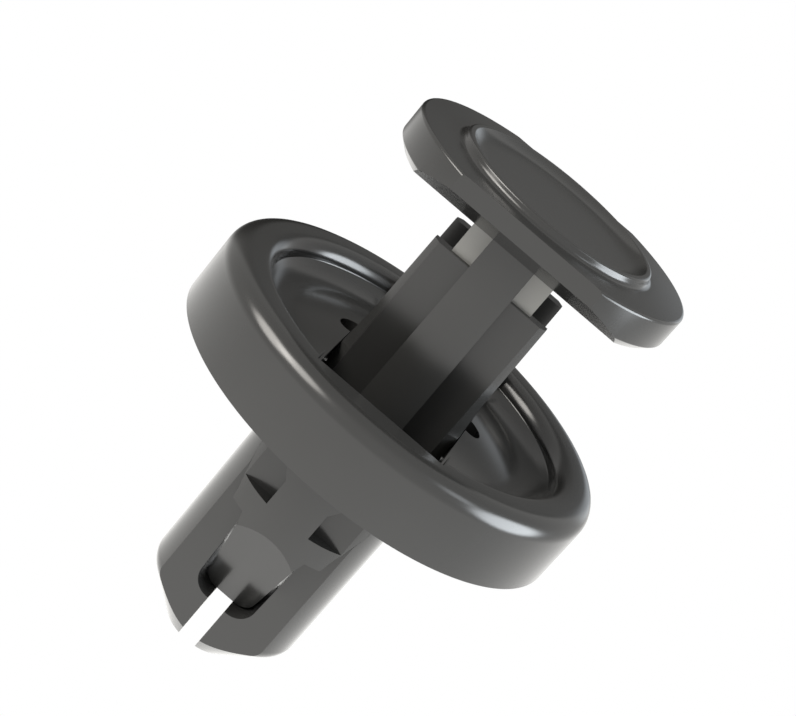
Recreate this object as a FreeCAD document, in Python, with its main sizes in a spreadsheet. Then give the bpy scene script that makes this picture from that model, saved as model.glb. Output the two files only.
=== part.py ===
import FreeCAD
import Part
import Sketcher
import math
import os

# Trim clip: a push-in grommet with two legs and the plunger that spreads them.
# Lengths are in millimetres. The origin is the middle of the flange's underside.
# +Z runs up to the plunger's head, -Y is the side with the flat faces in view.

doc = FreeCAD.newDocument("TrimClip")
sheet = doc.addObject("Spreadsheet::Sheet", "Dimensions")

DIMENSIONS = [
    ("flange_radius", 10.0, "outside of the flange"),
    ("rim_top", 3.65, "top of the rim above the underside"),
    ("rim_width", 1.55, "width of the rim up to the bowl"),
    ("wall_run", 1.15, "how far the bowl wall leans in"),
    ("bowl_floor_edge", 1.95, "floor height at the foot of the wall"),
    ("bowl_floor_middle", 3.05, "floor height on the axis"),
    ("rim_outer_round", 0.9, "round on the outer top edge"),
    ("rim_inner_round", 0.75, "round on the inner top edge"),
    ("stem_radius", 3.877, "round outside of the two legs and of the shaft"),
    ("leg_flat", 2.506, "flat faces of the legs from the middle plane"),
    ("leg_shoulder", -11.17, "where the legs start to taper"),
    ("leg_tip", -13.32, "lowest point of the legs"),
    ("leg_round", 0.8, "round where the legs start to taper"),
    ("well_half", 3.11, "half width of the space between the legs"),
    ("well_narrow", -3.4, "where that space starts to narrow"),
    ("window_top_half", 1.68, "half width of the window between the legs"),
    ("window_low_half", 1.52, "half width of the window near its foot"),
    ("window_foot", -10.56, "foot of the window"),
    ("slot_half", 0.48, "half width of the slot that parts the legs"),
    ("channel_half", 3.3, "half width of the channel across the bowl"),
    ("channel_floor", 1.0, "floor of the channel"),
    ("channel_end", 1.93, "end walls of the channel from the flange's outside"),
    ("ledge_half", 3.4, "half width of the flat ledge at each end"),
    ("ledge_outer", 1.0, "outer end of the ledge from the flange's outside"),
    ("bar_gap_y", 2.9, "half length of the opening for the bars"),
    ("column_gap_x", 1.36, "half width of the opening for the columns"),
    ("column_gap_y", 4.0, "half length of the opening for the columns"),
    ("notch_radius", 0.7, "half-round notch on each side of the opening"),
    ("head_radius", 7.12, "plunger head"),
    ("head_flat", 6.12, "flats of the head from the middle plane"),
    ("head_top", 12.77, "top of the head"),
    ("head_edge_low", 11.36, "foot of the head's side"),
    ("head_under_radius", 6.72, "edge of the head's underside"),
    ("head_under", 10.98, "underside of the head"),
    ("ring_foot_radius", 5.05, "foot of the raised ring"),
    ("ring_radius", 4.93, "raised ring on the head"),
    ("ring_land", 0.2, "width of the ring's flat top"),
    ("ring_top", 13.17, "top of the raised ring"),
    ("dish_radius", 4.2, "foot of the dish's slope"),
    ("dish_edge", 12.87, "dish at the foot of its slope"),
    ("dish_floor", 12.82, "middle of the dish"),
    ("facet_high", 11.94, "pry facet where it meets the flat"),
    ("facet_in", 4.05, "inner end of the pry facet"),
    ("neck_half_x", 2.15, "neck below the head, half width"),
    ("neck_half_y", 2.42, "neck below the head, half depth"),
    ("column_top_half", 1.10, "column half width at the head"),
    ("column_low_half", 1.18, "column half width at its foot"),
    ("bar_half_x", 3.03, "bars, half width at their top"),
    ("bar_middle_half", 3.10, "bars, half width where they start to flare"),
    ("bar_flare_half", 3.24, "bars, half width inside the flange"),
    ("bar_low_half", 3.07, "bars, half width between the legs"),
    ("flare_start", 4.8, "where the bars start to flare"),
    ("flare_end", 2.95, "where the flare ends"),
    ("bar_half_y", 2.73, "bars, half depth"),
    ("bar_top", 9.05, "top of the bars"),
    ("bar_foot", -4.64, "ledge at the foot of the bars"),
    ("channel_side_x", 2.15, "inner wall of the side channels"),
    ("channel_side_y", 2.0, "half depth of the side channels"),
    ("channel_side_foot", -3.3, "foot of the side channels"),
    ("stop_top", -0.06, "top of the stop on each column"),
    ("stop_half", 2.3, "half width of that stop"),
    ("stop_low", -1.72, "where the stop starts to narrow"),
    ("stop_end", -3.24, "where the stop ends"),
    ("barb_foot", -5.78, "foot of the barb"),
    ("barb_foot_half", 2.5, "half width of the barb at its foot"),
    ("nose_neck_half", 1.78, "half width below the barb"),
    ("nose_top_half", 1.61, "half width of the nose at its start"),
    ("nose_low_half", 1.26, "half width of the nose near its end"),
    ("nose_end", -10.47, "end of the nose"),
    ("fit_gap", 0.04, "gap between the barb and the legs"),
]

values = {}
for row, (alias, value, note) in enumerate(DIMENSIONS, start=1):
    sheet.set("A%d" % row, note)
    sheet.set("B%d" % row, str(value))
    sheet.setAlias("B%d" % row, alias)
    values[alias] = value
doc.recompute()


def originPlane(body, role):
    for item in body.Origin.OriginFeatures:
        if item.Role == role:
            return item


def newSketch(body, role, title):
    sketch = body.newObject("Sketcher::SketchObject", title)
    sketch.AttachmentSupport = [(originPlane(body, role), "")]
    sketch.MapMode = "FlatFace"
    return sketch


def measure(text):
    names = {key: val for key, val in values.items() if key in text}
    result = 0.0
    for part in text.replace("-", "+-").split("+"):
        part = part.strip()
        if not part:
            continue
        sign = 1.0
        if part.startswith("-"):
            sign = -1.0
            part = part[1:].strip()
        result += sign * (names[part] if part in names else float(part))
    return result


def bindPoint(sketch, index, end, across, up):
    for kind, text in (("DistanceX", across), ("DistanceY", up)):
        number = sketch.addConstraint(
            Sketcher.Constraint(kind, -1, 1, index, end, measure(text)))
        if any(alias in text for alias in values):
            formula = text
            for alias in sorted(values, key=len, reverse=True):
                formula = formula.replace(alias, "<" + alias[::-1] + ">")
            for alias in values:
                formula = formula.replace("<" + alias[::-1] + ">", "Dimensions." + alias)
            sketch.setExpression("Constraints[%d]" % number, "(" + formula + ") * 1 mm")


def drawPolygon(sketch, corners):
    first = sketch.GeometryCount
    points = [FreeCAD.Vector(measure(a), measure(b), 0) for a, b in corners]
    for here, there in zip(points, points[1:] + points[:1]):
        sketch.addGeometry(Part.LineSegment(here, there), False)
    count = len(points)
    for step in range(count):
        sketch.addConstraint(Sketcher.Constraint(
            "Coincident", first + step, 2, first + (step + 1) % count, 1))
    for step, (across, up) in enumerate(corners):
        bindPoint(sketch, first + step, 1, across, up)


def mirrored(corners):
    flipped = []
    for across, up in corners:
        text = across.replace(" ", "")
        text = text[1:] if text.startswith("-") else "-" + text.replace("+", "~").replace(
            "-", "+").replace("~", "-")
        flipped.append((text, up))
    return flipped[::-1]


def padBoth(body, sketch, title, length):
    pad = body.newObject("PartDesign::Pad", title)
    pad.Profile = sketch
    pad.Midplane = True
    pad.setExpression("Length", length)
    body.Tip = pad
    doc.recompute()
    return pad


def cutBoth(body, sketch, title, length):
    before = body.Shape.Volume
    cut = body.newObject("PartDesign::Pocket", title)
    cut.Profile = sketch
    cut.Midplane = True
    cut.setExpression("Length", length)
    body.Tip = cut
    doc.recompute()
    if not cut.Shape.Volume < before - 1e-6:
        raise RuntimeError(title + " cuts nothing")
    return cut


def spin(body, sketch, title, kind="PartDesign::Revolution"):
    turned = body.newObject(kind, title)
    turned.Profile = sketch
    turned.ReferenceAxis = (sketch, ["V_Axis"])
    turned.Angle = 360
    body.Tip = turned
    doc.recompute()
    return turned


def edgesWhere(shape, test):
    names = []
    for number, edge in enumerate(shape.Edges, start=1):
        if edge.Length > 0.01 and test(edge):
            names.append("Edge%d" % number)
    return names


def roundEdges(body, title, radius, test):
    base = body.Tip
    names = edgesWhere(base.Shape, test)
    if not names:
        raise RuntimeError(title + " finds no edge")
    feature = body.newObject("PartDesign::Fillet", title)
    feature.Base = (base, names)
    feature.setExpression("Radius", radius)
    body.Tip = feature
    doc.recompute()
    return feature


def isCircle(edge, radius, height):
    low, high = edge.BoundBox.ZMin, edge.BoundBox.ZMax
    if abs(low - height) > 0.01 or abs(high - height) > 0.01:
        return False
    return all(abs(math.hypot(v.X, v.Y) - radius) < 0.01 for v in edge.Vertexes)


# Grommet: flange, bowl and stem turned in one piece
grommet = doc.addObject("PartDesign::Body", "GrommetBody")
grommet.Label = "grommet"
profile = newSketch(grommet, "XZ_Plane", "GrommetProfile")
drawPolygon(profile, [
    ("0", "leg_tip"),
    ("stem_radius - 2.15", "leg_tip"),
    ("stem_radius", "leg_shoulder"),
    ("stem_radius", "0"),
    ("flange_radius", "0"),
    ("flange_radius", "rim_top"),
    ("flange_radius - rim_width", "rim_top"),
    ("flange_radius - rim_width - wall_run", "bowl_floor_edge"),
    ("0", "bowl_floor_edge"),
])
spin(grommet, profile, "GrommetTurned")

# Domed floor of the bowl
dome = newSketch(grommet, "XZ_Plane", "DomeProfile")
rise = values["bowl_floor_middle"] - values["bowl_floor_edge"]
half = measure("flange_radius - rim_width - wall_run")
sphere = (half * half + rise * rise) / (2 * rise)
centre = values["bowl_floor_middle"] - sphere
dome.addGeometry(Part.LineSegment(
    FreeCAD.Vector(0, values["bowl_floor_edge"] - 0.5, 0),
    FreeCAD.Vector(0, values["bowl_floor_middle"], 0)), False)
dome.addGeometry(Part.ArcOfCircle(
    Part.Circle(FreeCAD.Vector(0, centre, 0), FreeCAD.Vector(0, 0, 1), sphere),
    math.asin(1.0) - math.asin(half / sphere), math.asin(1.0)), False)
dome.addGeometry(Part.LineSegment(
    FreeCAD.Vector(half, values["bowl_floor_edge"], 0),
    FreeCAD.Vector(half, values["bowl_floor_edge"] - 0.5, 0)), False)
dome.addGeometry(Part.LineSegment(
    FreeCAD.Vector(half, values["bowl_floor_edge"] - 0.5, 0),
    FreeCAD.Vector(0, values["bowl_floor_edge"] - 0.5, 0)), False)
dome.addConstraint(Sketcher.Constraint("Coincident", 0, 2, 1, 2))
dome.addConstraint(Sketcher.Constraint("Coincident", 1, 1, 2, 1))
dome.addConstraint(Sketcher.Constraint("Coincident", 2, 2, 3, 1))
dome.addConstraint(Sketcher.Constraint("Coincident", 3, 2, 0, 1))
bindPoint(dome, 0, 1, "0", "bowl_floor_edge - 0.5")
bindPoint(dome, 0, 2, "0", "bowl_floor_middle")
bindPoint(dome, 2, 1, "flange_radius - rim_width - wall_run", "bowl_floor_edge")
bindPoint(dome, 2, 2, "flange_radius - rim_width - wall_run", "bowl_floor_edge - 0.5")
dome.addConstraint(Sketcher.Constraint("PointOnObject", 1, 3, -2))
spin(grommet, dome, "DomedFloor")

# Rounds of the rim
roundEdges(grommet, "RimOuterRound", "Dimensions.rim_outer_round * 1 mm",
           lambda e: isCircle(e, values["flange_radius"], values["rim_top"]))
roundEdges(grommet, "RimInnerRound", "Dimensions.rim_inner_round * 1 mm",
           lambda e: isCircle(e, measure("flange_radius - rim_width"), values["rim_top"]))
roundEdges(grommet, "LegShoulderRound", "Dimensions.leg_round * 1 mm",
           lambda e: isCircle(e, values["stem_radius"], values["leg_shoulder"]))

# Flat ledges at both ends of the channel
ledges = newSketch(grommet, "YZ_Plane", "LedgeProfile")
ledge = [
    ("flange_radius - channel_end - 0.6", "0.5"),
    ("flange_radius - ledge_outer", "0.5"),
    ("flange_radius - ledge_outer", "rim_top"),
    ("flange_radius - channel_end - 0.6", "rim_top"),
]
drawPolygon(ledges, ledge)
drawPolygon(ledges, mirrored(ledge))
padBoth(grommet, ledges, "Ledges", "2 * Dimensions.ledge_half * 1 mm")

# Channel across the bowl
across = newSketch(grommet, "XZ_Plane", "ChannelProfile")
drawPolygon(across, [
    ("-channel_half", "channel_floor"),
    ("channel_half", "channel_floor"),
    ("channel_half", "rim_top + 1"),
    ("-channel_half", "rim_top + 1"),
])
cutBoth(grommet, across, "Channel",
        "2 * (Dimensions.flange_radius - Dimensions.channel_end) * 1 mm")

# Flat faces of the legs
flats = newSketch(grommet, "YZ_Plane", "LegFlatProfile")
flat = [
    ("leg_flat", "leg_tip - 1"),
    ("stem_radius + 1", "leg_tip - 1"),
    ("stem_radius + 1", "0"),
    ("leg_flat", "0"),
]
drawPolygon(flats, flat)
drawPolygon(flats, mirrored(flat))
cutBoth(grommet, flats, "LegFlats", "10 mm")

# Space between the legs: well, window and slot
space = newSketch(grommet, "XZ_Plane", "LegSpaceProfile")
side = [
    ("slot_half", "leg_tip - 1"),
    ("slot_half", "window_foot"),
    ("window_low_half - 0.75", "window_foot + 0.02"),
    ("window_low_half - 0.48", "window_foot + 0.11"),
    ("window_low_half - 0.25", "window_foot + 0.27"),
    ("window_low_half - 0.09", "window_foot + 0.50"),
    ("window_low_half - 0.01", "window_foot + 0.76"),
    ("window_low_half", "window_foot + 1.05"),
    ("window_top_half", "barb_foot - 0.62"),
    ("nose_neck_half + fit_gap", "barb_foot - fit_gap"),
    ("barb_foot_half + fit_gap", "barb_foot - fit_gap"),
    ("well_half", "well_narrow"),
    ("well_half", "0.02"),
]
drawPolygon(space, side + mirrored(side))
cutBoth(grommet, space, "LegSpace", "12 mm")

# Opening in the floor for the plunger
bars = newSketch(grommet, "XY_Plane", "BarOpening")
drawPolygon(bars, [
    ("-channel_half", "-bar_gap_y"),
    ("channel_half", "-bar_gap_y"),
    ("channel_half", "bar_gap_y"),
    ("-channel_half", "bar_gap_y"),
])
cutBoth(grommet, bars, "BarOpeningCut", "2 * (Dimensions.channel_floor + 0.5) * 1 mm")
columns = newSketch(grommet, "XY_Plane", "ColumnOpening")
drawPolygon(columns, [
    ("-column_gap_x", "-column_gap_y"),
    ("column_gap_x", "-column_gap_y"),
    ("column_gap_x", "column_gap_y"),
    ("-column_gap_x", "column_gap_y"),
])
cutBoth(grommet, columns, "ColumnOpeningCut", "2 * (Dimensions.channel_floor + 0.5) * 1 mm")

# Half-round notches on both sides of the opening
notches = newSketch(grommet, "XY_Plane", "NotchProfile")
for index, place in enumerate(("channel_half", "-channel_half")):
    notches.addGeometry(Part.Circle(
        FreeCAD.Vector(measure(place), 0, 0), FreeCAD.Vector(0, 0, 1),
        values["notch_radius"]), False)
    radius = notches.addConstraint(Sketcher.Constraint("Radius", index, values["notch_radius"]))
    notches.setExpression("Constraints[%d]" % radius, "Dimensions.notch_radius * 1 mm")
    bindPoint(notches, index, 3, place, "0")
notchCut = grommet.newObject("PartDesign::Pocket", "Notches")
notchCut.Profile = notches
notchCut.Reversed = True
notchCut.Length = 8
grommet.Tip = notchCut
doc.recompute()

# Plunger: columns in front and behind, with the stops that hold them in the flange
plunger = doc.addObject("PartDesign::Body", "PlungerBody")
plunger.Label = "plunger"
column = newSketch(plunger, "XZ_Plane", "ColumnProfile")
side = [
    ("column_low_half", "barb_foot"),
    ("column_low_half", "stop_end"),
    ("stop_half", "stop_low"),
    ("stop_half", "stop_top"),
    ("column_low_half", "stop_top"),
    ("column_top_half", "head_under + 0.5"),
]
drawPolygon(column, side + mirrored(side))
padBoth(plunger, column, "Columns", "9 mm")

# Bars on both sides of the columns
bar = newSketch(plunger, "XZ_Plane", "BarProfile")
side = [
    ("barb_foot_half", "barb_foot"),
    ("bar_low_half", "well_narrow - 0.02"),
    ("bar_low_half", "channel_floor - 0.2"),
    ("bar_flare_half", "channel_floor + 0.1"),
    ("bar_flare_half", "flare_end"),
    ("bar_middle_half", "flare_start"),
    ("bar_half_x", "bar_top"),
]
drawPolygon(bar, side + mirrored(side))
padBoth(plunger, bar, "Bars", "2 * Dimensions.bar_half_y * 1 mm")

# Side channels between the bars
gutter = newSketch(plunger, "XZ_Plane", "SideChannelProfile")
side = [
    ("channel_side_x", "channel_side_foot"),
    ("stem_radius + 1", "channel_side_foot"),
    ("stem_radius + 1", "bar_top + 0.5"),
    ("channel_side_x", "bar_top + 0.5"),
]
drawPolygon(gutter, side)
drawPolygon(gutter, mirrored(side))
cutBoth(plunger, gutter, "SideChannels", "2 * Dimensions.channel_side_y * 1 mm")

# Barb and nose
nose = newSketch(plunger, "XZ_Plane", "NoseProfile")
side = [
    ("0.44", "nose_end"),
    ("nose_low_half - 0.54", "nose_end + 0.05"),
    ("nose_low_half - 0.32", "nose_end + 0.17"),
    ("nose_low_half - 0.15", "nose_end + 0.36"),
    ("nose_low_half - 0.04", "nose_end + 0.60"),
    ("nose_low_half", "nose_end + 0.86"),
    ("nose_top_half", "barb_foot - 0.60"),
    ("nose_neck_half", "barb_foot"),
    ("barb_foot_half", "barb_foot"),
    ("2.75", "bar_foot"),
]
drawPolygon(nose, side + mirrored(side))
padBoth(plunger, nose, "Nose", "9 mm")

# Round outside of the shaft
skin = newSketch(plunger, "XZ_Plane", "SkinProfile")
drawPolygon(skin, [
    ("stem_radius", "nose_end - 1"),
    ("stem_radius + 5", "nose_end - 1"),
    ("stem_radius + 5", "head_under + 1"),
    ("stem_radius", "head_under + 1"),
])
spin(plunger, skin, "ShaftSkin", "PartDesign::Groove")

# Slanted faces of the nose
slant = newSketch(plunger, "YZ_Plane", "SlantProfile")
side = [
    ("1.37", "nose_end"),
    ("1.20", "nose_end - 0.32"),
    ("stem_radius + 1", "nose_end - 0.32"),
    ("stem_radius + 1", "barb_foot + 1.87"),
    ("stem_radius", "barb_foot"),
]
drawPolygon(slant, side)
drawPolygon(slant, mirrored(side))
cutBoth(plunger, slant, "NoseSlants", "8 mm")

# Neck and head
neck = newSketch(plunger, "XZ_Plane", "NeckProfile")
drawPolygon(neck, [
    ("-neck_half_x", "bar_top - 0.5"),
    ("neck_half_x", "bar_top - 0.5"),
    ("neck_half_x", "head_under + 0.5"),
    ("-neck_half_x", "head_under + 0.5"),
])
padBoth(plunger, neck, "Neck", "2 * Dimensions.neck_half_y * 1 mm")
head = newSketch(plunger, "XZ_Plane", "HeadProfile")
drawPolygon(head, [
    ("0", "head_under"),
    ("head_under_radius", "head_under"),
    ("head_radius", "head_edge_low"),
    ("head_radius", "head_top"),
    ("ring_foot_radius", "head_top"),
    ("ring_radius", "ring_top"),
    ("ring_radius - ring_land", "ring_top"),
    ("dish_radius", "dish_edge"),
    ("0", "dish_floor"),
])
spin(plunger, head, "Head")
roundEdges(plunger, "HeadRound", "0.15 mm",
           lambda e: isCircle(e, values["head_radius"], values["head_top"]))
roundEdges(plunger, "RingFootRound", "0.42 mm",
           lambda e: isCircle(e, values["ring_foot_radius"], values["head_top"]))
roundEdges(plunger, "DishFootRound", "1.2 mm",
           lambda e: isCircle(e, values["dish_radius"], values["dish_edge"]))

# Flats and pry facets of the head
trim = newSketch(plunger, "YZ_Plane", "HeadFlatProfile")
side = [
    ("head_flat", "facet_high"),
    ("facet_in", "head_under"),
    ("facet_in", "head_under - 0.2"),
    ("head_radius + 1", "head_under - 0.2"),
    ("head_radius + 1", "ring_top + 1"),
    ("head_flat", "ring_top + 1"),
]
drawPolygon(trim, side)
drawPolygon(trim, mirrored(side))
cutBoth(plunger, trim, "HeadFlats", "16 mm")

doc.recompute()
faults = []
for item in doc.Objects:
    if "Invalid" in item.State or "Error" in item.State:
        faults.append(item.Label)
os.makedirs("parts", exist_ok=True)
for node in (grommet, plunger):
    shape = node.Shape
    if shape.isNull() or not shape.isValid() or len(shape.Solids) != 1:
        faults.append(node.Label)
if faults:
    raise RuntimeError("faults in " + ", ".join(faults))
for node in (grommet, plunger):
    node.Shape.exportStep("parts/%s.step" % node.Label)
overlap = grommet.Shape.common(plunger.Shape).Volume
print("volumes", round(grommet.Shape.Volume, 2), round(plunger.Shape.Volume, 2))
print("overlap", round(overlap, 4))
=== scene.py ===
import math

import bmesh
import bpy
import numpy as np
from mathutils import Matrix, Vector


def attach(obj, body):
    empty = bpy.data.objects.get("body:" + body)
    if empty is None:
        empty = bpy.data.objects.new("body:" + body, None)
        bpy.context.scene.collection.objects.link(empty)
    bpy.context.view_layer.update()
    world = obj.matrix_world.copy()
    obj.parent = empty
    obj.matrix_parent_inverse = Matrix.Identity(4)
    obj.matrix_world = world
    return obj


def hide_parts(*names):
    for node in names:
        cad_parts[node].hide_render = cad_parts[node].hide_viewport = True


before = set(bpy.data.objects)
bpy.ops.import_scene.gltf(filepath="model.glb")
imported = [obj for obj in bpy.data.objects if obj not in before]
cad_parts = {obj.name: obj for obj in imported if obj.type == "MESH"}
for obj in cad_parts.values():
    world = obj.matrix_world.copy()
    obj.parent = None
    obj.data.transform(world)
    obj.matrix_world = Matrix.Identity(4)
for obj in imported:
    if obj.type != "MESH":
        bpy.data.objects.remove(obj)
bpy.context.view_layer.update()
millimetre = 0.001
print("clip loaded")

# camera: a long lens, rolled so that the clip's head points up and to the right of the picture
cameraValues = {
    "focalPixels": 1971.46,
    "pictureWidth": 796,
    "sensorWidth": 36.0,       # mm
    "azimuth": 0.84,           # degrees
    "elevation": 18.852,
    "roll": 40.332,
    "shiftRight": -1.144,      # mm, where the clip's origin lies in the camera's frame
    "shiftUp": -2.857,
    "distance": 87.409,
    "clipping": (0.005, 5.0),  # m
}


# the camera's right, up and back: back points from the clip to the camera at the azimuth and
# elevation, and right and up are the level and upright directions turned round it by the roll
def cameraAxes(values):
    azimuth = math.radians(values["azimuth"])
    elevation = math.radians(values["elevation"])
    roll = math.radians(values["roll"])
    back = Vector((math.sin(azimuth) * math.cos(elevation),
                   -math.cos(azimuth) * math.cos(elevation), math.sin(elevation)))
    level = Vector((math.cos(azimuth), math.sin(azimuth), 0.0))
    upright = back.cross(level)
    right = level * math.cos(roll) + upright * math.sin(roll)
    up = upright * math.cos(roll) - level * math.sin(roll)
    return right, up, back


viewRight, viewUp, viewBack = cameraAxes(cameraValues)


# stands back from the clip by the distance, less the shifts; the lens in mm is the focal length
# in picture widths times the width of the sensor
def makeCamera(values):
    spot = (viewBack * values["distance"] - viewRight * values["shiftRight"]
            - viewUp * values["shiftUp"]) * millimetre
    data = bpy.data.cameras.new("camera")
    data.sensor_width = values["sensorWidth"]
    data.lens = values["focalPixels"] / values["pictureWidth"] * values["sensorWidth"]
    data.clip_start, data.clip_end = values["clipping"]
    camera = bpy.data.objects.new("camera", data)
    bpy.context.collection.objects.link(camera)
    turn = Matrix((viewRight, viewUp, viewBack)).transposed()
    camera.matrix_world = Matrix.Translation(spot) @ turn.to_4x4()
    bpy.context.scene.camera = camera


makeCamera(cameraValues)
print("camera placed")


# shader maths: a socket that takes part in Python expressions, each operator a Math node
class Wire:
    def __init__(self, tree, socket):
        self.tree = tree
        self.socket = socket

    def joined(self, operation, first, second):
        return Shop(self.tree).add("ShaderNodeMath", {"operation": operation},
                                   {0: first, 1: second}).out(0)

    def __add__(self, other):
        return self.joined("ADD", self, other)

    def __radd__(self, other):
        return self.joined("ADD", other, self)

    def __sub__(self, other):
        return self.joined("SUBTRACT", self, other)

    def __rsub__(self, other):
        return self.joined("SUBTRACT", other, self)

    def __mul__(self, other):
        return self.joined("MULTIPLY", self, other)

    def __rmul__(self, other):
        return self.joined("MULTIPLY", other, self)

    def __gt__(self, other):
        return self.joined("GREATER_THAN", self, other)

    def __lt__(self, other):
        return self.joined("LESS_THAN", self, other)

    def __abs__(self):
        return self.joined("ABSOLUTE", self, None)


# a node in its tree, whose outputs come as wires
class Placed:
    def __init__(self, tree, node):
        self.tree = tree
        self.node = node

    def out(self, name=0):
        return Wire(self.tree, self.node.outputs[name])


# a tree that makes its nodes
class Shop:
    def __init__(self, tree):
        self.tree = tree

    # any node: its settings first, then values or links for its sockets
    def add(self, kind, settings=None, sockets=None):
        node = self.tree.nodes.new(kind)
        for name, value in (settings or {}).items():
            setattr(node, name, value)
        for name, value in (sockets or {}).items():
            if isinstance(value, Wire):
                self.tree.links.new(value.socket, node.inputs[name])
            elif value is not None:
                node.inputs[name].default_value = value
        return Placed(self.tree, node)


# satin black moulding: even colour, faint grain, slightly uneven gloss, with a painted highlight on
# the neck under the head
plasticValues = {
    "colour": (0.017, 0.017, 0.0165),
    "paler": (0.021, 0.021, 0.0205),
    "roughness": 0.19,
    "roughnessSpread": 0.04,
    "cloudShare": 0.7,         # of the roughness's spread, the rest follows the grain
    "ior": 1.5,
    "grainScale": 5200.0,
    "grainDetail": 2.0,
    "grainHeight": 0.0000002,  # m
    "cloudScale": 260.0,
    "cloudDetail": 3.0,
    # painted highlight: a pale grey standing in for the light that the neck's faces under the head
    # catch
    "neckPaintedHighlight": (0.24, 0.238, 0.225),
    "neckHalf": (0.00217, 0.00244),      # m, the box of the painted highlight, which the neck fills
    "neckLevels": (0.009052, 0.010972),
}


# clouds of noise mix the two blacks, clouds and grain vary the roughness, and the grain lifts
# the surface; inside the box of the short neck under the head the colour is a painted highlight,
# pale grey
def makePlastic(name, values):
    material = bpy.data.materials.new(name)
    material.use_nodes = True
    tree = material.node_tree
    tree.nodes.clear()
    shop = Shop(tree)
    place = shop.add("ShaderNodeTexCoord").out("Object")

    def noise(scale, detail):
        return shop.add("ShaderNodeTexNoise", None, {
            "Vector": place, "Scale": scale, "Detail": detail}).out("Fac")

    def mixed(share, first, second):
        return shop.add("ShaderNodeMix", {"data_type": "RGBA"}, {
            0: share, 6: first, 7: second}).out(2)

    grain = noise(values["grainScale"], values["grainDetail"])
    cloud = noise(values["cloudScale"], values["cloudDetail"])
    black = mixed(cloud, (*values["colour"], 1), (*values["paler"], 1))
    axes = shop.add("ShaderNodeSeparateXYZ", None, {"Vector": place})
    height = axes.out("Z")
    halfX, halfY = values["neckHalf"]
    foot, head = values["neckLevels"]
    # the neck's box, where the painted highlight's pale grey replaces the black
    neck = ((height > foot) * (height < head)
            * (abs(axes.out("X")) < halfX) * (abs(axes.out("Y")) < halfY))
    spread, share = values["roughnessSpread"], values["cloudShare"]
    rough = (cloud * share + grain * (1 - share)) * spread + (values["roughness"] - spread / 2)
    relief = shop.add("ShaderNodeBump", None, {
        "Strength": 1.0, "Distance": values["grainHeight"], "Height": grain}).out("Normal")
    shader = shop.add("ShaderNodeBsdfPrincipled", None, {
        "Base Color": mixed(neck, black, (*values["neckPaintedHighlight"], 1)),
        "Roughness": rough, "IOR": values["ior"], "Normal": relief})
    shop.add("ShaderNodeOutputMaterial", None, {"Surface": shader.out(0)})
    return material


plastic = makePlastic("blackPlastic", plasticValues)
print("plastic mixed")


# a profile of corners (across, up, round): a round is an arc that touches both sides, with its
# middle on the corner's bisector, radius / sin(half the angle) from the corner
def rounded(corners, steps=10):
    line = []
    for index, (across, up, radius) in enumerate(corners):
        here = np.array([across, up], float)
        if radius == 0:
            line.append(here)
            continue
        before = np.array(corners[index - 1][:2], float) - here
        after = np.array(corners[index + 1][:2], float) - here
        before /= np.linalg.norm(before)
        after /= np.linalg.norm(after)
        half = math.acos(np.clip(before @ after, -1, 1)) / 2
        reach = radius / math.tan(half)
        bisector = (before + after) / np.linalg.norm(before + after)
        middle = here + bisector * radius / math.sin(half)
        first = here + before * reach - middle
        last = here + after * reach - middle
        sweep = math.pi - 2 * half
        share = np.linspace(0, 1, steps + 1)[:, None]
        arc = (np.sin((1 - share) * sweep) * first + np.sin(share * sweep) * last) / math.sin(sweep)
        line.extend(middle + arc)
    return np.array(line)


# a grid of profile rows by angles round Z: each point is (radius cos, radius sin, height), and
# fans close the profile's two ends, which lie on the axis
def turned(profile, count):
    inner = profile[1:-1]
    angle = np.linspace(0, 2 * math.pi, count, endpoint=False)
    grid = np.stack([inner[:, :1] * np.cos(angle), inner[:, :1] * np.sin(angle),
                     np.repeat(inner[:, 1:], count, axis=1)], axis=-1)
    points = np.vstack([[0, 0, profile[0, 1]], grid.reshape(-1, 3), [0, 0, profile[-1, 1]]])
    rows = len(inner)
    ids = 1 + np.arange(rows * count).reshape(rows, count)
    beside = np.roll(ids, -1, axis=1)
    sides = np.stack([ids[:-1], beside[:-1], beside[1:], ids[1:]], axis=-1).reshape(-1, 4)
    low = np.stack([np.zeros(count, int), beside[0], ids[0]], axis=-1)
    high = np.stack([ids[-1], beside[-1], np.full(count, len(points) - 1)], axis=-1)
    return points, sides.tolist() + low.tolist() + high.tolist()


# a closed outline carried along one axis from low to high; its two numbers are the places on
# the other two axes
def carried(outline, axis, low, high):
    outline = np.asarray(outline, float)
    count = len(outline)
    columns = {"x": (1, 2, 0), "y": (0, 2, 1), "z": (0, 1, 2)}[axis]
    points = np.zeros((2 * count, 3))
    for end, level in enumerate((low, high)):
        part = slice(end * count, (end + 1) * count)
        points[part, columns[0]] = outline[:, 0]
        points[part, columns[1]] = outline[:, 1]
        points[part, columns[2]] = level
    ids = np.arange(count)
    after = np.roll(ids, -1)
    sides = np.stack([ids, after, after + count, ids + count], axis=-1).tolist()
    return points, sides + [ids[::-1].tolist(), (ids + count).tolist()]


# a box between two corners
def block(low, high):
    outline = [(low[0], low[1]), (high[0], low[1]), (high[0], high[1]), (low[0], high[1])]
    return carried(outline, "z", low[2], high[2])


# points round a circle: radius times (cos, sin)
def circle(radius, count):
    angle = np.linspace(0, 2 * math.pi, count, endpoint=False)
    return np.column_stack([np.cos(angle), np.sin(angle)]) * radius


# the right half of an outline, closed by its mirror image
def bothSides(outline):
    outline = np.asarray(outline, float)
    return np.vstack([outline, (outline * (-1, 1))[::-1]])


# an object from points and faces, its faces turned outwards
def makeSolid(name, shape):
    mesh = bpy.data.meshes.new(name)
    mesh.from_pydata(shape[0].tolist(), [], shape[1])
    work = bmesh.new()
    work.from_mesh(mesh)
    bmesh.ops.recalc_face_normals(work, faces=work.faces)
    work.to_mesh(mesh)
    work.free()
    solid = bpy.data.objects.new(name, mesh)
    bpy.context.collection.objects.link(solid)
    return solid


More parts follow.
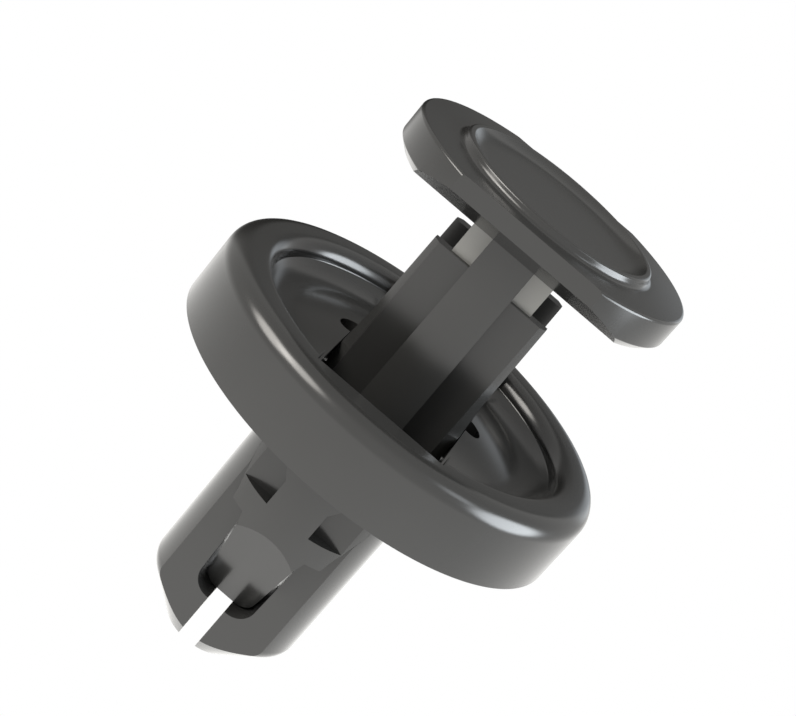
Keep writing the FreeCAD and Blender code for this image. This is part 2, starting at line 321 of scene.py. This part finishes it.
# the points and faces of an object, which is then removed
def takeShape(solid):
    mesh = solid.data
    points = np.zeros(len(mesh.vertices) * 3, np.float32)
    mesh.vertices.foreach_get("co", points)
    faces = [list(face.vertices) for face in mesh.polygons]
    bpy.data.objects.remove(solid)
    return points.reshape(-1, 3).astype(float), faces


# joins, cuts or trims a solid by shapes, one after the other, and keeps the result as its mesh
def shaped(solid, operation, shapes):
    for shape in shapes:
        tool = makeSolid("tool", shape)
        step = solid.modifiers.new("step", "BOOLEAN")
        step.operation = operation
        step.solver = "EXACT"
        step.object = tool
        bpy.context.view_layer.update()
        seen = solid.evaluated_get(bpy.context.evaluated_depsgraph_get())
        mesh = bpy.data.meshes.new_from_object(seen)
        solid.modifiers.clear()
        solid.data = mesh
        bpy.data.objects.remove(tool)


# how each piece is cleaned and shaded after its cuts
finishValues = {
    "mergeWithin": 0.003,      # mm
    "shortest": 0.002,
    "sharpAngle": 20,          # degrees, less than the 25 between the head's facet and underside
}


# merges points that the cuts left close together, brings the piece from mm to m and puts it in
# its CAD node's place
def finishPiece(solid, node, values):
    mesh = solid.data
    work = bmesh.new()
    work.from_mesh(mesh)
    bmesh.ops.remove_doubles(work, verts=work.verts, dist=values["mergeWithin"])
    bmesh.ops.dissolve_degenerate(work, dist=values["shortest"], edges=work.edges)
    work.to_mesh(mesh)
    work.free()
    mesh.transform(Matrix.Scale(millimetre, 4))
    mesh.materials.clear()
    mesh.materials.append(plastic)
    mesh.shade_smooth()
    mesh.set_sharp_from_angle(angle=math.radians(values["sharpAngle"]))
    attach(solid, node)
    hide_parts(node)


# grommet: round flange with its bowl, and the split stem below it; in mm, heights from the
# flange's underside, half widths across X unless said
grommetValues = {
    "flangeRadius": 10.0,
    "rimTop": 3.65,
    "rimOuterRound": 0.9,
    "rimInnerRound": 0.75,
    "bowlWall": 7.82,
    "wallLean": 0.04,
    "wallFootRound": 0.12,
    "hollowInner": 6.0,           # where the hollow along the wall meets the domed floor
    "hollowRadius": 1.85,
    "floorEdge": (7.3, 1.95),     # radius and height that the domed floor would reach
    "floorMiddle": 3.05,
    "stemRadius": 3.877,
    "legFlat": 2.506,             # half depth, Y
    "legShoulder": -11.17,
    "legTip": (1.727, -13.32),
    "legRound": 0.8,
    "tipRound": 0.12,
    "wellHalf": 3.11,             # the space between the legs, from its top down
    "wellTop": 0.02,
    "wellNarrow": -3.4,
    "barbHalf": 2.54,
    "barbFoot": -5.82,
    "windowFlare": (1.82, 0.58),  # the window's half width at the barb, and the flare's height
    "windowHalf": (1.68, 1.52),
    "windowFoot": -10.56,
    "windowRound": 0.95,
    "slotHalf": 0.48,
    "channelHalf": 3.3,           # the channel across the bowl, along Y
    "channelEnd": 8.07,
    "channelFloor": 1.0,
    "shelfHalf": 3.36,            # the shelves that close the channel's ends
    "shelfOuter": 9.08,
    "shelfDepth": 1.2,
    "shelfFoot": 0.5,
    "barGap": 2.9,                # half depth of the bars' opening, whose corners gapRadius rounds
    "gapRadius": 3.93,
    "columnGap": (1.36, 3.93),
    "notchRadius": 0.7,
    "cutEnds": (-0.02, -0.03, -0.04),   # opening, columns, notches: not in one plane
    "cutOverlap": 0.2,
    "spacePast": 0.05,            # how far the cut between the legs passes their flats
    "past": 0.5,                  # how far other cuts reach into the open air
    "hollowSteps": 25,
    "hollowSkip": 4,              # steps of the hollow that the wall's foot round takes
    "floorSteps": 24,
    "shelfSteps": 25,
    "windowSteps": 16,
    "gapSteps": 96,
    "notchSteps": 48,
    "roundSteps": 288,
}


# the radius of the sphere through the domed floor's edge and middle:
# (edge squared + rise squared) / (2 rise)
def floorSphere(values):
    edge, height = values["floorEdge"]
    rise = values["floorMiddle"] - height
    return (edge * edge + rise * rise) / (2 * rise)


# the domed floor's height at a radius: the sphere's middle plus the circle's height there
def floorHeight(values, radius):
    sphere = floorSphere(values)
    return values["floorMiddle"] - sphere + np.sqrt(sphere * sphere - radius * radius)


# the grommet's section from the stem's tip, round the flange and over the bowl's floor to its
# middle: the hollow is an arc that leaves the domed floor along its slope and rises to the wall
def grommetProfile(values):
    wall, inner, bend = values["bowlWall"], values["hollowInner"], values["hollowRadius"]
    slant = math.asin(inner / floorSphere(values))
    middle = inner + bend * math.sin(slant)
    base = floorHeight(values, inner) + bend * math.cos(slant)
    across = np.linspace(wall - values["wallLean"], inner, values["hollowSteps"])
    hollow = np.column_stack([across, base - np.sqrt(bend * bend - (across - middle) ** 2)])
    inwards = np.linspace(inner, 0, values["floorSteps"])
    dome = np.column_stack([inwards, floorHeight(values, inwards)])
    skip = values["hollowSkip"]
    tipRadius, tip = values["legTip"]
    outside = rounded([
        (0, tip, 0),
        (tipRadius, tip, values["tipRound"]),
        (values["stemRadius"], values["legShoulder"], values["legRound"]),
        (values["stemRadius"], 0, 0),
        (values["flangeRadius"], 0, 0),
        (values["flangeRadius"], values["rimTop"], values["rimOuterRound"]),
        (wall, values["rimTop"], values["rimInnerRound"]),
        (*hollow[0], values["wallFootRound"]),
        (*hollow[skip], 0),
    ])
    return np.vstack([outside, hollow[skip + 1:], dome[1:]])


# the shelf at the channel's end on +Y: straight inside and at its sides, an arc outside
def shelfOutline(values):
    half, outer = values["shelfHalf"], values["shelfOuter"]
    inside = values["channelEnd"] - values["shelfDepth"]
    turn = np.linspace(-1, 1, values["shelfSteps"]) * math.asin(half / outer)
    arc = np.column_stack([outer * np.sin(turn), outer * np.cos(turn)])
    return np.vstack([(-half, inside), arc, (half, inside)])


# the space between the legs, seen from the front: well, barb's seat, window and slot
def legSpace(values, tip):
    upper, lower = values["windowHalf"]
    flareHalf, flareHeight = values["windowFlare"]
    slot, foot, barb = values["slotHalf"], values["windowFoot"], values["barbFoot"]
    return bothSides(rounded([
        (slot, tip, 0),
        (slot, foot, 0),
        (lower, foot, values["windowRound"]),
        (upper, barb - flareHeight, 0),
        (flareHalf, barb, 0),
        (values["barbHalf"], barb, 0),
        (values["wellHalf"], values["wellNarrow"], 0),
        (values["wellHalf"], values["wellTop"], 0),
    ], values["windowSteps"]))


# turned flange and stem with the shelves added, then the legs' flats, the channel with its
# openings and notches, and the space between the legs cut away
def makeGrommet(values):
    solid = makeSolid("grommetSkin", turned(grommetProfile(values), values["roundSteps"]))
    past, flat = values["past"], values["legFlat"]
    top = values["rimTop"]
    above = top + past
    tip = values["legTip"][1] - past
    far = values["stemRadius"] + past
    shelf = shelfOutline(values)
    shaped(solid, "UNION", [
        carried(shelf * (1, side), "z", values["shelfFoot"], top) for side in (1, -1)])
    shaped(solid, "DIFFERENCE", [block((-far, -far, tip), (far, -flat, 0)),
                                 block((-far, flat, tip), (far, far, 0))])

    half, end, floor = values["channelHalf"], values["channelEnd"], values["channelFloor"]
    gapEnd, columnEnd, notchEnd = values["cutEnds"]
    barGap, (columnX, columnY) = values["barGap"], values["columnGap"]
    gap = np.clip(circle(values["gapRadius"], values["gapSteps"]),
                  (-half, -barGap), (half, barGap))
    into = floor + values["cutOverlap"]
    notch = circle(values["notchRadius"], values["notchSteps"])
    shaped(solid, "DIFFERENCE", [
        block((-half, -end, floor), (half, end, above)),
        carried(gap, "z", gapEnd, into),
        block((-columnX, -columnY, columnEnd), (columnX, columnY, into)),
        carried(notch - (half, 0), "z", notchEnd, above),
        carried(notch + (half, 0), "z", notchEnd, above),
    ])
    deep = flat + values["spacePast"]
    shaped(solid, "DIFFERENCE", [carried(legSpace(values, tip), "y", -deep, deep)])
    finishPiece(solid, "grommet", finishValues)
    print("grommet made:", len(solid.data.polygons), "faces")


makeGrommet(grommetValues)


# plunger: head, neck, shaft with its columns and bars, barb and nose; in mm, heights from the
# flange's underside, half widths across X unless said
plungerValues = {
    "headRadius": 7.12,
    "headFlat": 6.12,             # half depth, Y
    "headTop": 12.77,
    "headRound": 0.15,
    "bevelHigh": 11.36,
    "bevelRounds": (0.05, 0.08),
    "underRadius": 6.72,
    "under": 10.98,
    "facetHigh": 11.94,           # the slanted facets under the two flats
    "facetIn": 4.05,
    "ringFoot": 5.03,
    "ringFootRound": 0.26,
    "ringRadius": 4.95,
    "ringTop": 13.17,
    "ringLand": 0.27,
    "ringRounds": (0.13, 0.12),
    "dishFoot": (4.22, 12.82),
    "dishRound": 1.6,
    "dishFloor": (1.5, 12.80),
    "neck": (2.15, 2.42),         # half width and half depth
    "columnHalf": (1.10, 1.18),   # inside the head, and below
    "stopHalf": 2.3,              # the stops on the columns
    "stopLevels": (-0.06, -1.72, -3.24),   # full between the first two, gone at the third
    "barHalf": (3.03, 3.10, 3.24, 3.10, 2.53),   # top, above the flare, flare, below it, foot
    "barLevels": (9.05, 4.8, 2.95, 1.1, 0.8, -3.42, -5.68),   # of that outline's corners
    "barDepth": 2.73,
    "gutter": (2.15, 2.0, -3.3),  # the bars' side channels: inside, half depth, foot
    "barbHalf": (2.75, 2.5),      # at its top and foot
    "barbLevels": (-4.64, -5.78),
    "noseHalf": (1.78, 1.61, 1.26),        # at the barb's foot, a step below, at its end
    "noseStep": 0.6,
    "noseEnd": -10.47,
    "noseRound": 0.8,
    "slantFoot": 1.37,            # Y of the nose's slanted faces at its end
    "shaftRadius": 3.877,
    "sink": 0.3,                  # how far the shaft reaches into the head
    "stagger": 0.1,               # keeps the ends of joined solids out of one plane
    "past": 0.5,                  # how far cuts reach into the open air
    "noseSteps": 16,
    "shaftSteps": 192,
    "roundSteps": 256,
}


# the columns with their stops, seen from the front
def columnOutline(values):
    inHead, half = values["columnHalf"]
    stop = values["stopHalf"]
    stopTop, stopLow, stopEnd = values["stopLevels"]
    reach = values["sink"] + values["stagger"]
    return bothSides([
        (half, values["barbLevels"][1] + reach), (half, stopEnd), (stop, stopLow),
        (stop, stopTop), (half, stopTop), (inHead, values["under"] + reach)])


# the bars, a flared block with a channel cut into each side
def makeBars(values, far):
    high, middle, flare, low, foot = values["barHalf"]
    top, flareStart, flareHigh, flareLow, plain, taper, end = values["barLevels"]
    outline = bothSides([
        (foot, end), (low, taper), (low, plain), (flare, flareLow), (flare, flareHigh),
        (middle, flareStart), (high, top)])
    bars = makeSolid("bars", carried(outline, "y", -values["barDepth"], values["barDepth"]))
    inner, half, gutterFoot = values["gutter"]
    over = top + values["past"]
    shaped(bars, "DIFFERENCE", [block((-far, -half, gutterFoot), (-inner, half, over)),
                                block((inner, -half, gutterFoot), (far, half, over))])
    return bars


# barb and nose, seen from the front; the first corner only gives the tip's round its direction
def noseOutline(values):
    barbHigh, barbLow = values["barbHalf"]
    barbTop, barbFoot = values["barbLevels"]
    neckHalf, noseHalf, tipHalf = values["noseHalf"]
    return bothSides(rounded([
        (0, values["noseEnd"], 0),
        (tipHalf, values["noseEnd"], values["noseRound"]),
        (noseHalf, barbFoot - values["noseStep"], 0),
        (neckHalf, barbFoot, 0),
        (barbLow, barbFoot, 0),
        (barbHigh, barbTop, 0),
    ], values["noseSteps"])[1:])


# the head: a turned profile with its ring and dish, cut by the two flats and their facets
def makeHead(values):
    under, top, radius = values["under"], values["headTop"], values["headRadius"]
    underRound, bevelRound = values["bevelRounds"]
    outerRound, innerRound = values["ringRounds"]
    dish, dishFloor = values["dishFloor"]
    profile = rounded([
        (0, under, 0),
        (values["underRadius"], under, underRound),
        (radius, values["bevelHigh"], bevelRound),
        (radius, top, values["headRound"]),
        (values["ringFoot"], top, values["ringFootRound"]),
        (values["ringRadius"], values["ringTop"], outerRound),
        (values["ringRadius"] - values["ringLand"], values["ringTop"], innerRound),
        (*values["dishFoot"], values["dishRound"]),
        (dish, dishFloor, 0),
        (0, dishFloor, 0),
    ])
    head = makeSolid("head", turned(profile, values["roundSteps"]))
    flat, inner, past = values["headFlat"], values["facetIn"], values["past"]
    low, high, wide = under - past, values["ringTop"] + past, radius + past
    facet = np.array([(flat, values["facetHigh"]), (inner, under), (inner, low), (wide, low),
                      (wide, high), (flat, high)])
    shaped(head, "DIFFERENCE", [
        carried(facet * (side, 1), "x", -wide, wide) for side in (1, -1)])
    return head


# the shaft is joined from columns, bars and nose, trimmed to its round, cut to the nose's
# slanted faces, and joined to the neck and the head
def makePlunger(values):
    radius, past, stagger = values["shaftRadius"], values["past"], values["stagger"]
    under, end, barbFoot = values["under"], values["noseEnd"], values["barbLevels"][1]
    far = radius + past
    solid = makeSolid("plungerSkin", carried(columnOutline(values), "y", -far, far))
    shaped(solid, "UNION", [
        takeShape(makeBars(values, far)),
        carried(noseOutline(values), "y", -far - stagger, far + stagger)])
    shaped(solid, "INTERSECT", [
        carried(circle(radius, values["shaftSteps"]), "z", end - past, under + values["sink"])])
    steep = (barbFoot - end) / (radius - values["slantFoot"])
    slant = np.array([(values["slantFoot"] - past / steep, end - past), (far, end - past),
                      (far, barbFoot + past * steep)])
    shaped(solid, "DIFFERENCE", [
        carried(slant * (side, 1), "x", -far, far) for side in (1, -1)])
    neckX, neckY = values["neck"]
    shaped(solid, "UNION", [
        block((-neckX, -neckY, values["barLevels"][0] - past),
              (neckX, neckY, under + values["sink"] - stagger)),
        takeShape(makeHead(values))])
    finishPiece(solid, "plunger", finishValues)
    print("plunger made:", len(solid.data.polygons), "faces")


makePlunger(plungerValues)


# studio: a pale room, lighter below the clip and behind the camera, darker beyond the clip,
# with warm windows above, cool ones on the right and a faint one beyond; each is a cap on the
# sky round a direction given as (right, up, back) of the camera, full within core and nothing
# past edge, in degrees
warmLight = (1.0, 0.965, 0.91)
coolLight = (0.90, 0.955, 1.0)
skyLight = (0.86, 0.93, 1.0)
roomValues = {
    "white": 1.0,              # what the camera sees behind the clip
    "room": 0.74,              # light from all round
    "tint": (1.0, 0.99, 0.965),
    "below": {"edge": 92, "core": 55, "light": 1.05},
    "front": {"towards": (-0.30, -0.38, 0.87), "edge": 88, "core": 30, "light": 0.41},
    "dark": [
        {"towards": (0.22, 0.47, -0.855), "edge": 34, "core": 26, "share": 0.74},
        {"towards": (0.0, 0.48, -0.88), "edge": 19, "core": 6, "share": 1.0},
    ],
    "windows": [
        {"towards": (-0.45, 0.78, 0.42), "edge": 20, "core": 10, "light": 9.6,
         "colour": warmLight},
        {"towards": (-0.25, 0.67, 0.70), "edge": 18, "core": 9, "light": 8.6,
         "colour": warmLight},
        {"towards": (0.87, -0.46, 0.08), "edge": 26, "core": 14, "light": 11.5,
         "colour": coolLight},
        {"towards": (0.86, -0.06, 0.50), "edge": 12, "core": 4, "light": 3.5,
         "colour": coolLight},
        {"towards": (0.50, 0.11, -0.86), "edge": 15, "core": 6, "light": 0.8,
         "colour": skyLight},
    ],
}


# the sky's light is the room's, raised by the light caps, lowered by the dark ones, with the
# windows added; rays straight from the camera see plain white
def makeRoom(values):
    world = bpy.data.worlds.new("room")
    bpy.context.scene.world = world
    world.use_nodes = True
    tree = world.node_tree
    tree.nodes.clear()
    shop = Shop(tree)
    sky = shop.add("ShaderNodeTexCoord").out("Generated")

    def towards(spot):
        right, up, back = spot["towards"]
        return (viewRight * right + viewUp * up + viewBack * back).normalized()

    # a smooth step in the cosine of the angle between the ray and the cap's middle
    def cap(spot, middle):
        near = shop.add("ShaderNodeVectorMath", {"operation": "DOT_PRODUCT"}, {
            0: sky, 1: tuple(middle)}).out("Value")
        return shop.add("ShaderNodeMapRange", {"interpolation_type": "SMOOTHSTEP"}, {
            "Value": near, "From Min": math.cos(math.radians(spot["edge"])),
            "From Max": math.cos(math.radians(spot["core"])),
            "To Min": 0.0, "To Max": 1.0}).out("Result")

    def background(colour, strength):
        return shop.add("ShaderNodeBackground", None, {
            "Color": (*colour, 1), "Strength": strength}).out(0)

    front, below = values["front"], values["below"]
    down = Vector((0, 0, -1))
    room = (values["room"] + cap(front, towards(front)) * front["light"]
            + cap(below, down) * below["light"])
    for dark in values["dark"]:
        room = room * (1 - cap(dark, towards(dark)) * dark["share"])
    total = background(values["tint"], room)
    for window in values["windows"]:
        light = background(window["colour"], cap(window, towards(window)) * window["light"])
        total = shop.add("ShaderNodeAddShader", None, {0: total, 1: light}).out(0)
    rays = shop.add("ShaderNodeLightPath")
    seen = shop.add("ShaderNodeMixShader", None, {
        0: rays.out("Is Camera Ray"), 1: total,
        2: background((1, 1, 1), values["white"])}).out(0)
    shop.add("ShaderNodeOutputWorld", None, {"Surface": seen})


makeRoom(roomValues)
bpy.context.scene.view_settings.view_transform = "Standard"
print("room lit")
